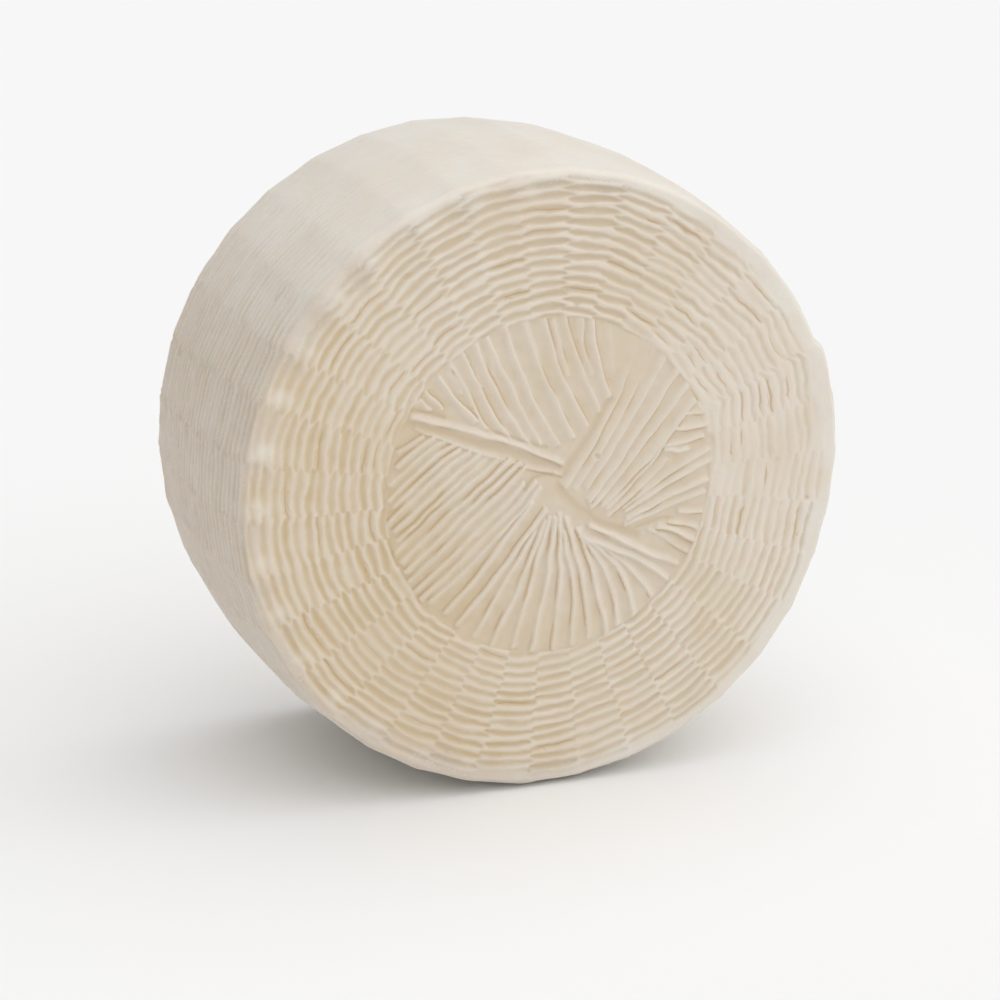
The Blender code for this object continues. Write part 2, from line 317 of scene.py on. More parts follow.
def weave(along, angle, points):
    """The basket's weave on the faces, the edges and the rim, with its knots, hollow columns, creases, smears
    and small eyes: its height over the smooth wheel, and what the surface looks like: how far down in a
    groove or eye a point lies from 0 to 1, where the material paints shade and, on the faces, a warm tan,
    the offset and strength of the crease beside it, which is painted as shade too, how far it has the rim's
    colour, how pale it is, below 0 where it is darker, and how far it is darkened by a dried tint with
    painted shade."""
    random = np.random.default_rng(WEAVE_SEED)
    grooves = round(LENGTH / PITCH) + 3
    every = (COLUMNS, grooves)

    # How the columns and their grooves differ, in pitches, in columns or in parts of the whole
    lift = random.uniform(-0.12, 0.12, COLUMNS)
    tilt = random.uniform(-0.25, 0.25, COLUMNS)
    phase = random.uniform(0, 2 * math.pi, COLUMNS)
    shift = random.uniform(-0.15, 0.15, every)
    share = random.uniform(0.75, 1.0, every)
    stretch = random.uniform(0.90, 1.06, every)
    width = random.uniform(-0.06, 0.06, every)
    crease_chance = random.uniform(0, 1, every)
    crease_middle = random.uniform(-0.15, 0.15, every)
    crease_side = random.uniform(-0.10, 0.10, every)
    crease_bow = random.uniform(-0.05, 0.15, every)
    crease_strength = random.uniform(0.25, 1.0, every)
    middle = wrapped(COLUMN_START + (np.arange(COLUMNS) + 0.5) * COLUMN_ANGLE)
    bluntness = round_wheel(BLUNTNESS, middle)
    bow = round_wheel(BOWS, middle) + random.uniform(-0.3, 0.3, COLUMNS)
    shoulder = round_wheel(SHOULDERS, middle) + random.uniform(-1.5, 1.5, COLUMNS) * MM
    widths = round_wheel(WIDTHS, middle)
    tone = random.uniform(-COLUMN_TONE, COLUMN_TONE, COLUMNS)

    # Where the points lie, and what the weave is like there
    rim = on_rim(along)
    outwards = from_edge(along)
    front = along < LENGTH / 2
    around = wrapped(angle)
    turn = (angle - COLUMN_START) / COLUMN_ANGLE + SEAM_WANDER * noise(points, 0.05, 1) * (0.3 + rim)
    column = np.floor(turn).astype(int)
    across = turn - column - 0.5
    back_strength = BACK_STRENGTH + 0.18 * noise(points, 0.06, 2)
    strength = np.where(front, round_wheel(STRENGTHS, around), back_strength)
    smeared = np.where(front, round_wheel(SMEARS, around), BACK_SMEAR)
    hollow_share = np.where(front, round_wheel(HOLLOWS, around), BACK_HOLLOW)
    rim_strength = round_wheel(RIM_STRENGTHS, around)
    knot_share = np.where(front, round_wheel(KNOTS, around), BACK_KNOT)
    wave = 0.15 * noise(points, 0.011, 5) + 0.07 * noise(points, 0.004, 6)
    wave = wave * (1 - 0.5 * rim) * (1 + 1.4 * smeared)
    steepness = 1.5 - 0.3 * hollow_share * (1 - rim)

    # The deepest of the grooves that reach a point, which are its own column's and its neighbours'
    depth = np.zeros_like(along)
    for beside in (-1, 0, 1):
        stake = (column + beside) % COLUMNS
        off = across - beside
        row = along / PITCH + 0.5 * (stake % 2) + lift[stake] + tilt[stake] * off + bow[stake] * off ** 2
        row = row + ROW_SWING * np.sin(along / SWING_LENGTH + phase[stake]) + wave
        groove = np.round(row).astype(int)
        pick = (stake, groove % grooves)
        gap = row - groove
        bent = gap - shift[pick] * (0.5 + off)
        half_length = (GROOVE_REACH - BLUNT_CUT * bluntness[stake]) * stretch[pick]
        reach = np.clip(np.abs(off) / half_length, 0, 1)
        narrowing = 1 - reach ** (2 + 5 * bluntness[stake])
        half_width = GROOVE_TIP + (widths[stake] + width[pick] - GROOVE_TIP) * narrowing
        shape = np.cos(math.pi / 2 * np.clip(np.abs(bent) / half_width, 0, 1)) ** steepness
        held = 1 - (1 - share[pick]) * (1 + 2 * smeared)
        depth = np.maximum(depth, held * shape * smooth_step(1.6 * narrowing))
        if beside == 0:
            side_gap = crease_side[pick] - crease_bow[pick] * (0.5 - (2 * off) ** 2)
            crease_offset = (gap - side_gap) * PITCH + CREASE_WANDER * noise(points, 0.004, 7)
            present = crease_chance[pick] < np.maximum(0.85 * (smeared - 0.16), FEWEST_CREASES) * (1 - rim)
            near = smooth_step((0.50 - 0.60 * crease_chance[pick] - np.abs(off - crease_middle[pick])) / 0.2)
            inside = smooth_step((-outwards - CREASE_BORDER) / CREASE_FADE)
            crease = present * near * crease_strength[pick] * inside

    # How strong the grooves and hollows are, from the face over its shoulder to the rim
    from_shoulder = outwards - np.where(front, shoulder[column % COLUMNS], BACK_SHOULDER)
    on_face = 1 - smooth_step(from_shoulder / SHOULDER_FADE)
    past_edge = smooth_step((outwards - RIM_GROOVE_START) / SHOULDER_FADE)
    ticks = 0.85 + 0.2 * bell(np.abs(across) - TICK_ACROSS, TICK_WIDTH) + 0.3 * noise(points, 0.006, 12)
    scale = FACE_GROOVE * strength * on_face + RIM_GROOVE * rim_strength * ticks * past_edge
    hollow_scale = FACE_HOLLOW * hollow_share * np.clip(1 + outwards / HOLLOW_LENGTH, 0.2, 1)
    hollow = hollow_scale * (1 - rim) * (0.5 - np.abs(np.cos(math.pi * across)) ** 1.3)
    hollow = hollow + RIM_HOLLOW * rim * ((2 * across) ** 2 - 1 / 3) * (0.7 + 0.4 * noise(points, 0.06, 13))

    # Knots and sunk patches at the edge, smears, and the creases with their lips
    ragged = 0.8 + 0.4 * noise(points, 0.007, 8) + 0.4 * noise(points, 0.003, 10)
    swell = (bell(outwards - KNOT_OUTWARDS, KNOT_LENGTH) + 0.25 * rim) * knot_share * ragged
    knot = swell * bell(across - KNOT_ACROSS, KNOT_WIDTH)
    patch = swell * bell(across - PATCH_ACROSS, KNOT_WIDTH)
    knots = KNOT * (knot - PATCH_SHARE * patch)
    smear = smeared * (1 - rim) * (0.6 * noise(points, 0.006, 3) + 0.4 * noise(points, 0.0028, 4)) * SMEAR
    cut = CREASE_DEPTH * bell(crease_offset, 1.4 * CREASE_WIDTH)
    lip = LIP * np.exp(-np.maximum(crease_offset, 0) / LIP_LENGTH) * (crease_offset > 0)
    pit = pits(points)
    height = scale * (0.5 - depth) + hollow + knots + smear + crease * (lip - cut) - PIT_DEPTH * pit
    rim_colour = from_shoulder - RIM_COLOUR_START + 5 * MM * noise(points, 0.012, 9)
    # The groove values darken the material with painted shade in the grooves and eyes, and the crease values
    # with painted shade along the creases
    looks = {
        "groove": depth * scale / FACE_GROOVE + pit,
        "crease_offset": crease_offset,
        "crease": crease * smooth_step((CREASE_REACH - np.abs(crease_offset)) / (0.5 * MM)),
        "rim": smooth_step(rim_colour / RIM_COLOUR_FADE),
        "pale": knot - PATCH_SHARE * patch + tone[column % COLUMNS] * rim,
        "dried_and_shade": dried_and_shade(points, rim),
    }
    return height, looks


def pits(points):
    """How far points lie in one of the few small eyes that open at the surface, 1 in its middle."""
    random = np.random.default_rng(PIT_SEED)
    pit = np.zeros(len(points))
    for _ in range(PITS):
        along = random.uniform(0, LENGTH)
        radius = np.interp(along, ALONG, OUTLINE_RADIUS)
        middle = place(radius, random.uniform(0, 2 * math.pi), np.interp(along, ALONG, OUTLINE_Y))
        distance = np.linalg.norm(points - middle, axis=1)
        pit = np.maximum(pit, bell(distance, random.uniform(0.5 * PIT_RADIUS, PIT_RADIUS)))
    return pit


def dried_and_shade(points, rim):
    """Dried tint and painted shade, darker and tan: most at the lower left; on the rim only painted shade, at
    its far left.
    """
    aside = -points[:, 0] / RADIUS - 0.05 - 0.55 * rim
    above = (points[:, 2] - AXLE_HEIGHT) / RADIUS * (1 - rim)
    left = smooth_step((aside - 0.4 * above) / (0.60 - 0.20 * rim))
    return np.where(points[:, 1] < 0, left, 0.4 + (left - 0.4) * rim)


def blend(keys, t):
    """A point at t from the first key to the last: on a line through two keys, a parabola through three."""
    if len(keys) == 2:
        weights = (1 - t, t)
    else:
        weights = ((1 - t) * (1 - 2 * t), 4 * t * (1 - t), t * (2 * t - 1))
    return sum(weight * np.asarray(key) for weight, key in zip(weights, keys))


def fan_strands(seed):
    """The courses of all strands of a face, each a row of points in metres from its middle, and the share of
    the full height that each stands up to. They are as uneven as rushes."""
    random = np.random.default_rng(seed)
    strands = []
    heights = []
    for name, (count, courses) in FANS.items():
        beam = name.endswith("beam")
        for index in range(count):
            loose = 0.0 if beam else STRAND_LOOSENESS
            first, last = (index + random.uniform(-loose, loose, 2)) / (count - 1)
            start = 0.0 if beam else random.uniform(-0.04, 0.10)
            end = 1.0 if beam else random.uniform(1.00, 1.10)
            bend = random.uniform(-STRAND_BEND, STRAND_BEND) * MM
            phase = random.uniform(0, 2 * math.pi)
            points = []
            for along in np.linspace(start, end, STRAND_STEPS + 1):
                t = min(max(first + (last - first) * along, 0.0), 1.0)
                point = blend([blend(course, along) for course in courses], t) * DISC_RADIUS
                points.append(point + bend * math.sin(phase + 5 * along))
            strands.append(np.array(points))
            faint = "upper short" in name or (name == "left beam" and index == 1)
            heights.append((1.0 if beam else random.uniform(0.65, 1.05)) * (FAINT_SHARE if faint else 1.0))
    return strands, heights


def from_course(flat, points):
    """How far points lie from a course, on which side of it, 1 clockwise and -1 counterclockwise, and how far
    beyond its ends."""
    distance = np.full(len(flat), FAR)
    side = np.zeros(len(flat))
    beyond = np.zeros(len(flat))
    for start, end in zip(points, points[1:]):
        step = end - start
        share = (flat - start) @ step / (step @ step)
        held = np.clip(share, 0, 1)
        away = flat - start - held[:, None] * step
        here = np.hypot(away[:, 0], away[:, 1])
        closer = here < distance
        distance = np.where(closer, here, distance)
        side = np.where(closer, -np.sign(step[0] * away[:, 1] - step[1] * away[:, 0]), side)
        beyond = np.where(closer, np.abs(share - held) * np.hypot(*step), beyond)
    return distance, side, beyond


def border_cut(inwards, angle):
    """The broken groove between the fans and the ring, at points so far inwards of the disc's border."""
    around = np.stack((np.sin(angle), np.cos(angle), 0 * angle), -1) * DISC_RADIUS
    broken = smooth_step(0.5 + 1.5 * noise(around, 0.018, 41))
    return BORDER_CUT * broken * bell(inwards - BORDER_CUT_PLACE, BORDER_CUT_WIDTH)


def fans(flat, seed):
    """The fans' relief at points of a face, across and up: its height over the smooth face, and what the
    surface looks like: how far down between the strands a point lies from 0 to 1, the offset and strength of
    the crease beside a strand, and how pale it is. Strands lie over each other like shingles, so a ridge
    drops steeply on its clockwise side."""
    strands, heights = fan_strands(seed)
    lifted = np.pad(flat, ((0, 0), (0, 1)))
    radius = np.hypot(flat[:, 0], flat[:, 1])
    fade = smooth_step((DISC_RADIUS - radius) / FAN_BORDER)
    from_spot = np.linalg.norm(flat / DISC_RADIUS - RUBBED_SPOT, axis=1)
    fade = fade * (1 - RUBBED_SHARE * bell(from_spot, RUBBED_RADIUS))
    from_pit = np.linalg.norm(flat - FAN_PIT * DISC_RADIUS, axis=1) / PIT_RADIUS
    pit = bell(from_pit, 1.0)
    pit_lip = PIT_LIP * bell(from_pit - 1.5, 0.5)
    flat = flat + STRAND_STRAY * np.stack([noise(lifted, 0.008, seed + axis) for axis in (1, 2)], -1)

    # The highest of the ridges that reach a point, and the crease of the strand whose steep foot is nearest
    crest = np.zeros(len(flat))
    crease = np.zeros(len(flat))
    crease_offset = np.full(len(flat), FAR)
    for number, (points, top) in enumerate(zip(strands, heights)):
        distance, side, beyond = from_course(flat, points)
        near = distance < RIDGE_REACH
        distance, side, beyond = distance[near], side[near], beyond[near]
        steep = 1 - smooth_step(distance / RIDGE_DROP)
        gentle = np.clip(1 - distance / RIDGE_SLOPE, 0, 1) ** 1.8
        broad = 1 - smooth_step(distance / np.where(side > 0, FOOT_STEEP, FOOT_GENTLE))
        ripple = 0.05 * np.cos(2 * math.pi * distance / RIPPLE_LENGTH) * broad
        ridge = 0.7 * np.where(side > 0, steep, gentle) + 0.3 * broad + ripple
        capped = smooth_step(beyond / CAP_LENGTH)
        own = lifted[near] + (0, 0, number * 7 * MM)
        uneven = top * (0.85 + 0.3 * noise(own, 0.014, seed + 4))
        ridge = uneven * (ridge + capped * (1 - smooth_step(distance / CAP_RADIUS) - ridge))
        crest[near] = np.maximum(crest[near], ridge)
        offset = distance * side - 0.9 * RIDGE_DROP
        nearer = np.abs(offset) < np.abs(crease_offset[near])
        patches = smooth_step(0.35 + 1.6 * noise(own, 0.012, seed + 3)) * (side > 0) * (1 - capped)
        crease[near] = np.where(nearer, patches, crease[near])
        crease_offset[near] = np.where(nearer, offset, crease_offset[near])
    cut = np.zeros(len(flat))
    for half_width, depth, course in DISC_GROOVES.values():
        shares = np.linspace(0, 1, STRAND_STEPS + 1)
        points = np.array([blend(course, share) for share in shares]) * DISC_RADIUS
        distance = from_course(flat, points)[0] / MM
        cut = np.maximum(cut, depth * bell(distance, half_width))

    # Creases are narrow, and close up where another ridge lies over them
    crease = crease * fade * smooth_step((1.3 * MM - np.abs(crease_offset)) / (0.4 * MM))
    crease = crease * (1 - smooth_step((crest - 0.35) / 0.25))
    crease_cut = crease * 0.7 * CREASE_DEPTH * bell(crease_offset, CREASE_WIDTH)
    height = RIDGE_HEIGHT * (crest * fade - 0.3) - cut * MM * fade - crease_cut - PIT_DEPTH * (pit - pit_lip)
    # Painted shade darkens between the strands, in the cut grooves and beside the creases, and with the pit
    # value in the eye; the eye's pale lip is a painted highlight
    shade = 0.62 * (1 - crest * fade) + cut + 0.3 * crease * bell(crease_offset, 1.2 * MM)
    looks = {
        "groove": np.clip(shade + pit, 0, 1),
        "crease_offset": crease_offset,
        "crease": 0.50 * crease,
        "rim": np.zeros(len(flat)),
        "pale": 2 * pit_lip,
    }
    return height, looks


def edge_bump(angle, y):
    """How far the bump at the shown face's edge stands out: it rises at once and dies away along the edge."""
    return np.interp(wrapped(angle), BUMP_ANGLES, BUMP_RISES) * smooth_step(-y / HALF_THICKNESS * 2.5 - 1.2)


def lumps(points):
    """The unevenness of soft cheese, from wide lumps to fine ones."""
    wide = 0.55 * MM * noise(points, 0.050, 21)
    middle = 0.16 * MM * noise(points, 0.013, 22)
    fine = 0.06 * MM * noise(points, 0.0035, 23)
    return wide + middle + fine


def place(radius, angle, y):
    """Points of the wheel at an angle clockwise from the top, as seen from the front."""
    return np.stack((radius * np.sin(angle), y, AXLE_HEIGHT + radius * np.cos(angle)), -1)


def woven_rows():
    """Rows of points over the ring, the edges and the rim from front to back, the angles of the points in
    each row, the number of rows, and what the surface looks like at the points."""
    front = np.arange(0, RIM_START, FRONT_STEP)
    rim = np.linspace(RIM_START, LENGTH - RIM_START, round((LENGTH - 2 * RIM_START) / RIM_STEP))
    back = np.arange(0, RIM_START, BACK_STEP)[::-1]
    rows = np.concatenate((front, rim, LENGTH - back))
    part = np.arange(POINTS_PER_COLUMN) / POINTS_PER_COLUMN
    part = part - SEAM_CROWDING * np.sin(2 * math.pi * part) / (2 * math.pi)
    angles = COLUMN_START + (np.arange(COLUMNS)[:, None] + part).ravel() * COLUMN_ANGLE
    along, angle = (grid.ravel() for grid in np.meshgrid(rows, angles, indexing="ij"))
    radius = np.interp(along, ALONG, OUTLINE_RADIUS)
    y = np.interp(along, ALONG, OUTLINE_Y)
    slope_radius = np.interp(along, ALONG, np.gradient(OUTLINE_RADIUS, ALONG))
    slope_y = np.interp(along, ALONG, np.gradient(OUTLINE_Y, ALONG))
    steep = np.hypot(slope_radius, slope_y)
    smooth = place(radius, angle, y)
    height, looks = weave(along, angle, smooth)
    height = height + lumps(smooth) - border_cut(-np.minimum(along, LENGTH - along), angle)
    radius = radius + height * slope_y / steep + edge_bump(angle, y)
    y = y - height * slope_radius / steep
    return place(radius, angle, y), angles, len(rows), looks


def disc_rows(side):
    """Points inside the ring, in rows from its border to the middle of the face, and what the surface looks
    like at them. Side is -1 in front and 1 behind. Each row is a pair: the angles of its points, and their
    numbers from 0 on. The last point is the middle and in no row."""
    turn, step, seed = (BACK_FACE_TURN, BACK_STEP, BACK_SEED) if side > 0 else (0.0, FRONT_STEP, FRONT_SEED)
    rows = []
    first = 0
    flat = []
    for radius in np.arange(DISC_RADIUS - step, 0, -step):
        count = max(6, round(2 * math.pi * radius / step))
        angles = np.arange(count) * 2 * math.pi / count
        rows.append((angles, np.arange(first, first + count)))
        first += count
        flat.append(np.stack((radius * np.sin(angles), radius * np.cos(angles)), -1))
    flat.append(np.zeros((1, 2)))
    flat = np.concatenate(flat)
    radius = np.hypot(flat[:, 0], flat[:, 1])
    angle = np.arctan2(flat[:, 0], flat[:, 1])
    turned = np.stack((radius * np.sin(angle + turn), radius * np.cos(angle + turn)), -1)
    smooth = place(radius, angle, side * (HALF_THICKNESS + DOME * (1 - (radius / FACE_RADIUS) ** 2)))
    height, looks = fans(turned, seed)
    looks["dried_and_shade"] = dried_and_shade(smooth, 0.0)
    height = height + lumps(smooth) - border_cut(DISC_RADIUS - radius, angle)
    points = smooth + np.outer(height, (0, side, 0))
    return points, rows, looks


def zip_rows(outer, inner):
    """Triangles between two rows of points, each a pair of rising angles and numbers."""
    (outer_angles, outer_numbers), (inner_angles, inner_numbers) = outer, inner
    faces = []
    a = b = 0
    while a < len(outer_numbers) or b < len(inner_numbers):
        next_outer = outer_angles[a + 1] if a + 1 < len(outer_angles) else outer_angles[0] + 2 * math.pi
        next_inner = inner_angles[b + 1] if b + 1 < len(inner_angles) else inner_angles[0] + 2 * math.pi
        here_outer = outer_numbers[a % len(outer_numbers)]
        here_inner = inner_numbers[b % len(inner_numbers)]
        if b >= len(inner_numbers) or (a < len(outer_numbers) and next_outer <= next_inner):
            faces.append((here_outer, outer_numbers[(a + 1) % len(outer_numbers)], here_inner))
            a += 1
        else:
            faces.append((here_outer, inner_numbers[(b + 1) % len(inner_numbers)], here_inner))
            b += 1
    return faces


def row_by_angle(angles, numbers):
    """A row that starts at its smallest angle from 0 on."""
    angles = angles % (2 * math.pi)
    order = np.argsort(angles)
    return angles[order], numbers[order]


def disc_faces(rows, first, border):
    """Triangles of a disc whose points are numbered from first on."""
    rows = [border] + [(angles, numbers + first) for angles, numbers in rows]
    faces = []
    for outer, inner in zip(rows, rows[1:]):
        faces += zip_rows(outer, inner)
    last = rows[-1][1]
    middle = last[-1] + 1
    faces += [(last[index], last[(index + 1) % len(last)], middle) for index in range(len(last))]
    return faces


def make_wheel():
    """The whole wheel as one closed mesh, with what the surface looks like in its attributes."""
    points, angles, row_count, looks = woven_rows()
    count = len(angles)
    numbers = np.arange(row_count * count).reshape(row_count, count)
    after = np.roll(numbers, -1, axis=1)
    quads = np.stack((numbers[:-1], after[:-1], after[1:], numbers[1:]), -1).reshape(-1, 4)
    faces = quads.tolist()
    all_points = [points]
    all_looks = [looks]
    first = len(points)
    for side, border in ((-1, numbers[0]), (1, numbers[-1])):
        disc_points, rows, disc_looks = disc_rows(side)
        found = disc_faces(rows, first, row_by_angle(angles, border))
        faces += [face[::-1] if side < 0 else face for face in found]
        all_points.append(disc_points)
        all_looks.append(disc_looks)
        first += len(disc_points)
    points = np.concatenate(all_points)
    points[:, 2] = np.maximum(points[:, 2], 0)      # the flat spot that the wheel stands on
    mesh = bpy.data.meshes.new("woven_cheese")
    mesh.from_pydata(points.tolist(), [], faces)
    for name in looks:
        values = np.concatenate([part[name] for part in all_looks])
        if name == "crease_offset":
            values = np.clip(values / MM, -3, 3)    # in mm, as far away as a crease still shows
        attribute = mesh.attributes.new(name, "FLOAT", "POINT")
        attribute.data.foreach_set("value", values.astype(np.float32))
    wheel = bpy.data.objects.new("woven_cheese", mesh)
    bpy.context.scene.collection.objects.link(wheel)
    thin(wheel)
    unfold(wheel.data)
    wheel.data.shade_smooth()
    return wheel


def thin(wheel):
    """Takes triangles away where the wheel is flattest."""
    fine = wheel.data
    fine.calc_loop_triangles()
    modifier = wheel.modifiers.new("thin", "DECIMATE")
    modifier.ratio = MOST_TRIANGLES / len(fine.loop_triangles)
    graph = bpy.context.evaluated_depsgraph_get()
    wheel.data = bpy.data.meshes.new_from_object(wheel.evaluated_get(graph))
    wheel.modifiers.clear()
    bpy.data.meshes.remove(fine)
    wheel.data.name = "woven_cheese"


def unfold(mesh):
    """Lays the surface out flat: the faces as two discs side by side, the rim as two strips above them."""
    points = np.empty(len(mesh.vertices) * 3)
    mesh.vertices.foreach_get("co", points)
    points = points.reshape(-1, 3)
    corners = np.empty(len(mesh.loops), int)
    mesh.loops.foreach_get("vertex_index", corners)
    sizes = np.empty(len(mesh.polygons), int)
    mesh.polygons.foreach_get("loop_total", sizes)
    polygon = np.repeat(np.arange(len(sizes)), sizes)
    x, y, z = points[corners].T
    z = z - AXLE_HEIGHT
    middles = (np.bincount(polygon, value)[polygon] / sizes[polygon] for value in (x, y, z))
    middle_x, middle_y, middle_z = middles

    spread = 1 + UV_SPREAD * np.maximum(HALF_THICKNESS - np.abs(y), 0) / np.hypot(x, z)
    side = np.sign(middle_y)
    face_u = 0.5 + side * (UV_FACE - UV_SCALE * spread * x)
    face_v = UV_FACE + UV_SCALE * spread * z
    middle_angle = np.arctan2(middle_x, middle_z)
    angle = middle_angle + wrapped(np.arctan2(x, z) - middle_angle)
    strip = middle_angle > 0
    rim_u = UV_STRIP_START + UV_SCALE * RADIUS * np.where(strip, angle, angle + math.pi)
    rim_v = np.where(strip, *UV_STRIPS) + UV_SCALE * (y + HALF_RIM)
    on_face = np.abs(middle_y) > HALF_RIM
    uv = np.stack((np.where(on_face, face_u, rim_u), np.where(on_face, face_v, rim_v)), -1)
    mesh.uv_layers.new(name="OFBake").data.foreach_set("uv", uv.ravel())


def srgb(red, green, blue):
    """A colour from its values of 0 to 255 on a screen."""
    channels = [value / 255 for value in (red, green, blue)]
    return tuple(c / 12.92 if c <= 0.04045 else ((c + 0.055) / 1.055) ** 2.4 for c in channels) + (1.0,)


class Nodes:
    """A material's nodes, added one at a time."""

    def __init__(self, material):
        material.use_nodes = True
        self.tree = material.node_tree
        self.shader = self.tree.nodes["Principled BSDF"]

    def add(self, kind, inputs=None, **settings):
        node = self.tree.nodes.new(kind)
        for name, value in settings.items():
            setattr(node, name, value)
        for name, value in (inputs or {}).items():
            if isinstance(value, bpy.types.NodeSocket):
                self.tree.links.new(value, node.inputs[name])
            else:
                node.inputs[name].default_value = value
        return node

    def attribute(self, name):
        return self.add("ShaderNodeAttribute", attribute_name=name).outputs["Fac"]

    def maths(self, operation, *values):
        return self.add("ShaderNodeMath", dict(enumerate(values)), operation=operation).outputs[0]

    def ramp(self, value, start, end, to_start=0.0, to_end=1.0):
        """Goes smoothly from to_start to to_end while the value goes from start to end."""
        inputs = {"Value": value, "From Min": start, "From Max": end, "To Min": to_start, "To Max": to_end}
        return self.add("ShaderNodeMapRange", inputs, interpolation_type="SMOOTHSTEP").outputs["Result"]

    def mix(self, factor, first, second):
        """The first colour where the factor is 0, and the second where it is 1."""
        node = self.add("ShaderNodeMix", data_type="RGBA")
        sockets = {0: factor, 6: first, 7: second}
        for index, value in sockets.items():
            if isinstance(value, bpy.types.NodeSocket):
                self.tree.links.new(value, node.inputs[index])
            else:
                node.inputs[index].default_value = value
        return node.outputs[2]

    def noise(self, coordinates, scale, detail):
        inputs = {"Vector": coordinates, "Scale": scale, "Detail": detail}
        return self.add("ShaderNodeTexNoise", inputs).outputs["Fac"]


# Colours of the cheese: its ridges, hollows and rim, each fresh and darkened by a dried tint with painted
# shade (the rim's by painted shade only), and what lies on them. The hollows' colour is a warm tan with
# painted shade, the rim's groove and crease colours are painted shade, the glint colour is a painted
# highlight, and the pale knot colour also paints a highlight on the eye's lip.
RIDGE, DRIED_SHADED_RIDGE = srgb(231, 221, 207), srgb(227, 214, 195)
HOLLOW, DRIED_SHADED_HOLLOW = srgb(217, 200, 175), srgb(210, 186, 145)
RIM, SHADED_RIM = srgb(233, 227, 217), srgb(216, 203, 188)
RIM_PATCH = srgb(230, 222, 210)
RIM_GROOVE_SHADE = srgb(205, 192, 173)
WARM_PATCH = srgb(219, 202, 175)
PALE_KNOT_AND_HIGHLIGHT = srgb(236, 230, 219)
SUNK_PATCH = srgb(212, 195, 174)
CREASE_SHADE_HALO = srgb(214, 190, 158)
CREASE_SHADE_LINE = srgb(200, 167, 118)
GLINT = srgb(240, 235, 226)


def cheese_material():
    """Pale fresh cheese, slightly moist: pinkish cream on the ridges, warm in the grooves, greyer on the
    rim. Grooves, creases and eyes get painted shade, the lower left a dried tint with painted shade, and the
    rim's glints and the lip of the eye among the fans are painted highlights."""
    material = bpy.data.materials.new("fresh_cheese")
    nodes = Nodes(material)
    shader = nodes.shader

    # Wide patches, spots of some millimetres, and a fine grain
    coordinates = nodes.add("ShaderNodeTexCoord").outputs["Object"]
    patches = nodes.noise(coordinates, 22.0, 3.0)
    mottle = nodes.noise(coordinates, 160.0, 4.0)
    grain = nodes.noise(coordinates, 900.0, 3.0)

    # The faces, with painted shade over a warm tan in their grooves, then the rim, with painted shade in its
    # grooves, both darker to the left from a dried tint with painted shade, then the knots and sunk patches,
    # with a painted highlight on the eye's lip
    uneven = nodes.maths("MULTIPLY", nodes.maths("SUBTRACT", mottle, 0.5), 0.5)
    groove = nodes.ramp(nodes.maths("ADD", nodes.attribute("groove"), uneven), 0.10, 0.95)
    dried_and_shade_mask = nodes.attribute("dried_and_shade")
    ridge = nodes.mix(dried_and_shade_mask, RIDGE, DRIED_SHADED_RIDGE)
    hollow = nodes.mix(dried_and_shade_mask, HOLLOW, DRIED_SHADED_HOLLOW)
    face = nodes.mix(groove, ridge, hollow)
    warm = nodes.ramp(patches, 0.42, 0.68)
    face = nodes.mix(nodes.maths("MULTIPLY", warm, 0.35), face, WARM_PATCH)
    rim_colour = nodes.mix(nodes.ramp(patches, 0.35, 0.65), RIM, RIM_PATCH)
    rim_colour = nodes.mix(nodes.maths("MULTIPLY", dried_and_shade_mask, 0.8), rim_colour, SHADED_RIM)
    rim_colour = nodes.mix(groove, rim_colour, RIM_GROOVE_SHADE)
    colour = nodes.mix(nodes.attribute("rim"), face, rim_colour)
    pale = nodes.attribute("pale")
    colour = nodes.mix(nodes.ramp(pale, 0.05, 0.85, 0.0, 0.62), colour, PALE_KNOT_AND_HIGHLIGHT)
    colour = nodes.mix(nodes.ramp(pale, -0.60, -0.05, 0.5, 0.0), colour, SUNK_PATCH)

    # Creases get painted shade, a thin dark line with a paler halo, and the rim's grain has pale painted
    # glints
    crease = nodes.attribute("crease")
    offset = nodes.maths("ABSOLUTE", nodes.attribute("crease_offset"))
    offset = nodes.maths("DIVIDE", offset, nodes.maths("ADD", crease, 0.05))
    shown = nodes.ramp(crease, 0.05, 0.45)
    halo = nodes.maths("MULTIPLY", nodes.ramp(offset, 0.30, 1.60, 0.40, 0.0), shown)
    colour = nodes.mix(halo, colour, CREASE_SHADE_HALO)
    line = nodes.maths("MULTIPLY", nodes.ramp(offset, 0.12, 0.50, 0.55, 0.0), shown)
    colour = nodes.mix(line, colour, CREASE_SHADE_LINE)
    glints = nodes.maths("MULTIPLY", nodes.ramp(grain, 0.60, 0.70, 0.0, 0.5), nodes.attribute("rim"))
    colour = nodes.mix(glints, colour, GLINT)
    nodes.tree.links.new(colour, shader.inputs["Base Color"])

    # Moist and slightly rough, with light that goes in and comes out again
    roughness = nodes.ramp(mottle, 0.3, 0.7, 0.42, 0.58)
    nodes.tree.links.new(roughness, shader.inputs["Roughness"])
    relief = nodes.maths("ADD", nodes.maths("MULTIPLY", mottle, 0.6), nodes.maths("MULTIPLY", grain, 0.3))
    bump = nodes.add("ShaderNodeBump", {"Strength": 0.35, "Distance": 0.4 * MM, "Height": relief})
    nodes.tree.links.new(bump.outputs["Normal"], shader.inputs["Normal"])
    shader.inputs["Subsurface Weight"].default_value = 0.35
    shader.inputs["Subsurface Radius"].default_value = (1.0, 0.55, 0.3)
    shader.inputs["Subsurface Scale"].default_value = 2.5 * MM
    shader.inputs["Specular IOR Level"].default_value = 0.4
    return material


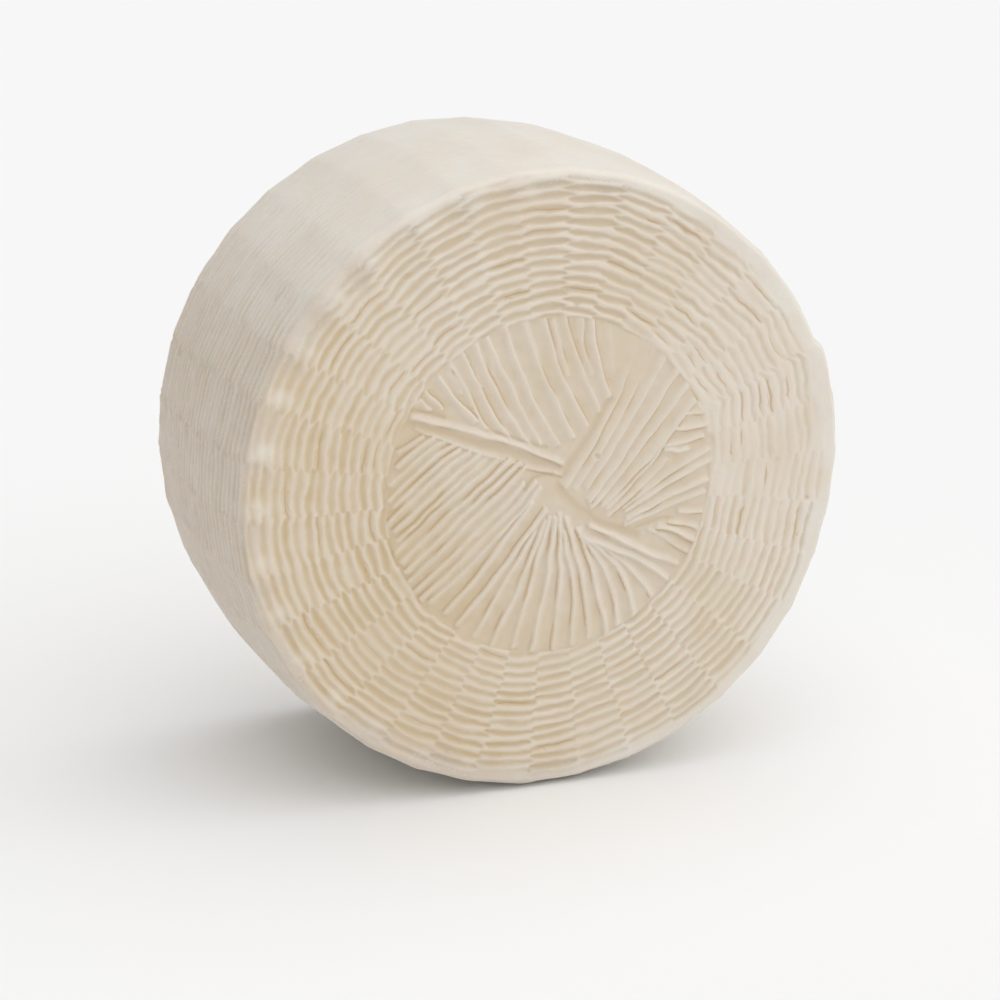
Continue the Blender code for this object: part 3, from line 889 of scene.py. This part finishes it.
# The studio's floor and light, and the camera, which stands where the photograph's stood
FLOOR_REACH = 40.0                        # from the wheel to each side
FLOOR_COLOUR = srgb(246, 246, 246)
SKY_STRENGTH = 0.50
LAMP_DIRECTION = Vector((0.30, -0.25, 0.92))
LAMP_STRENGTH = 1.74
LAMP_ANGLE = math.radians(100)
CAMERA_AZIMUTH = math.radians(-20.36)
CAMERA_ELEVATION = math.radians(16.59)
CAMERA_DISTANCE = 10.28 * RADIUS
CAMERA_ASIDE = 0.0229 * RADIUS
CAMERA_RAISE = -0.1773 * RADIUS
CAMERA_LENS = 116.4
CAMERA_SENSOR = 36.0


def make_floor():
    """A plain pale floor, wide enough to fill the view."""
    corners = [(x * FLOOR_REACH, y * FLOOR_REACH, 0) for x, y in ((-1, -1), (1, -1), (1, 1), (-1, 1))]
    mesh = bpy.data.meshes.new("floor")
    mesh.from_pydata(corners, [], [(0, 1, 2, 3)])
    floor = bpy.data.objects.new("floor", mesh)
    bpy.context.scene.collection.objects.link(floor)
    material = bpy.data.materials.new("pale_floor")
    nodes = Nodes(material)
    nodes.shader.inputs["Base Color"].default_value = FLOOR_COLOUR
    nodes.shader.inputs["Roughness"].default_value = 0.9
    nodes.shader.inputs["Specular IOR Level"].default_value = 0.0
    mesh.materials.append(material)


def make_light():
    """Soft light from all sides, and a large soft lamp above, a little in front and to the right."""
    world = bpy.data.worlds.new("studio")
    world.use_nodes = True
    background = world.node_tree.nodes["Background"]
    background.inputs["Color"].default_value = (1.0, 1.0, 1.0, 1.0)
    background.inputs["Strength"].default_value = SKY_STRENGTH
    bpy.context.scene.world = world
    lamp = bpy.data.lights.new("lamp", "SUN")
    lamp.energy = LAMP_STRENGTH
    lamp.angle = LAMP_ANGLE
    thing = bpy.data.objects.new("lamp", lamp)
    thing.rotation_euler = LAMP_DIRECTION.to_track_quat("Z", "Y").to_euler()
    bpy.context.scene.collection.objects.link(thing)


def make_camera():
    """The photograph's view of the wheel."""
    flat = math.cos(CAMERA_ELEVATION)
    back = Vector((
        math.sin(CAMERA_AZIMUTH) * flat,
        -math.cos(CAMERA_AZIMUTH) * flat,
        math.sin(CAMERA_ELEVATION)))
    right = Vector((math.cos(CAMERA_AZIMUTH), math.sin(CAMERA_AZIMUTH), 0))
    up = back.cross(right)
    camera = bpy.data.cameras.new("camera")
    camera.lens = CAMERA_LENS
    camera.sensor_width = CAMERA_SENSOR
    camera.clip_end = 100.0
    thing = bpy.data.objects.new("camera", camera)
    middle = Vector((0, 0, AXLE_HEIGHT))
    spot = middle + back * CAMERA_DISTANCE + right * CAMERA_ASIDE + up * CAMERA_RAISE
    thing.matrix_world = Matrix.Translation(spot) @ Matrix((right, up, back)).transposed().to_4x4()
    bpy.context.scene.collection.objects.link(thing)
    bpy.context.scene.camera = thing


bpy.context.scene.view_settings.view_transform = "Standard"
wheel = make_wheel()
wheel.data.materials.append(cheese_material())
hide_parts("cheese_wheel")
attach(wheel, "root")
make_floor()
make_light()
make_camera()
